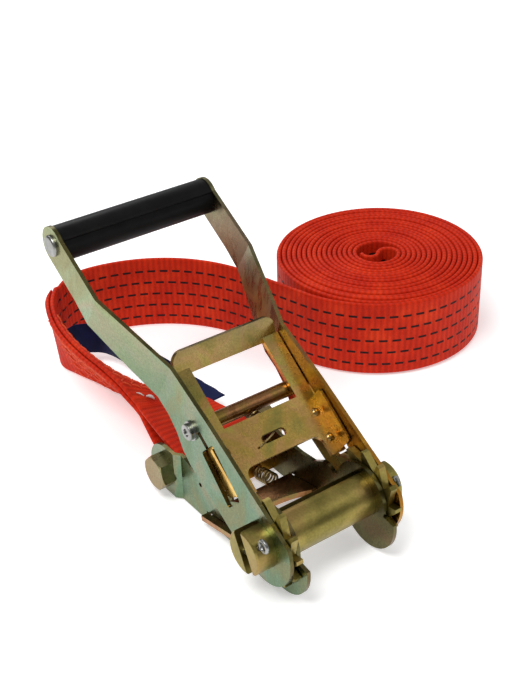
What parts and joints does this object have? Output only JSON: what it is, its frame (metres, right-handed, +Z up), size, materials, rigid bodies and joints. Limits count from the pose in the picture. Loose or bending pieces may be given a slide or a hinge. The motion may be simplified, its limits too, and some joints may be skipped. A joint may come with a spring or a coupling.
{
  "type": "ratchet tie down",
  "caption": "Long-handle ratchet buckle with slotted spindle, locking pawl and finger trigger, bolted to a flat webbing strap that stands coiled on its edge.",
  "frame": {"origin": "on the ground plane, under the middle of the spindle", "axes": "+X along the spindle towards the strap coil, +Y from the spindle to the anchor bolt, +Z up"},
  "size_m": [0.2999, 0.2927, 0.1406],
  "materials": {
    "zinc_plated_steel": "yellow passivated zinc, satin",
    "zinc_plated_steel_golden": "yellow passivated zinc, golden and pink tints",
    "bright_steel": "bright rivet and pin steel",
    "spring_steel": "plated spring wire",
    "black_grip": "smooth, slightly shiny",
    "orange_webbing": "ribbed woven polyester with rows of black tracer stitches",
    "blue_label": "thin woven label, plain"
  },
  "bodies": {
    "frame": {"frame_plate_left": "zinc_plated_steel", "frame_plate_right": "zinc_plated_steel", "frame_cross_plate": "zinc_plated_steel_golden", "anchor_bolt": "zinc_plated_steel", "anchor_nut": "zinc_plated_steel", "anchor_sleeve": "zinc_plated_steel_golden", "webbing_loop": "orange_webbing", "webbing_tail": "orange_webbing", "webbing_run": "orange_webbing", "webbing_coil": "orange_webbing", "strap_label": "blue_label", "pawl_springs": "spring_steel"},
    "handle": {"handle_arm_left": "zinc_plated_steel", "handle_arm_right": "zinc_plated_steel", "grip_sleeve": "black_grip", "grip_rod": "bright_steel", "crossbar_tube": "zinc_plated_steel_golden", "crossbar_bolt": "bright_steel", "crossbar_nut": "bright_steel", "crossbar_washers": "bright_steel", "trigger_spring": "spring_steel"},
    "trigger": {"trigger_plate": "zinc_plated_steel_golden"},
    "frame_pawl": {"frame_pawl": "zinc_plated_steel_golden"},
    "spindle": {"half_shaft_front": "zinc_plated_steel_golden", "half_shaft_rear": "zinc_plated_steel_golden", "ratchet_wheel_left": "zinc_plated_steel_golden", "ratchet_wheel_right": "zinc_plated_steel_golden", "cotter_pins": "bright_steel"}
  },
  "joints": [
    {"name": "handle_swing", "type": "hinge", "parent": "frame", "child": "handle", "pos_m": [0, 0, 0.028], "axis": [1, 0, 0], "range_deg": [-23, 149]},
    {"name": "trigger_slide", "type": "slide", "parent": "handle", "child": "trigger", "axis": [0, 0.7986, 0.6018], "range_m": [0, 0.006], "stiffness_N_per_m": 600, "springref_m": -0.008, "deforming": ["trigger_spring"]},
    {"name": "frame_pawl_slide", "type": "slide", "parent": "frame", "child": "frame_pawl", "axis": [0, 0.9816, -0.1908], "range_m": [0, 0.005], "stiffness_N_per_m": 600, "springref_m": -0.008, "deforming": ["pawl_springs"]},
    {"name": "spindle_turn", "type": "hinge", "parent": "frame", "child": "spindle", "pos_m": [0, 0, 0.028], "axis": [1, 0, 0], "continuous": true}
  ]
}
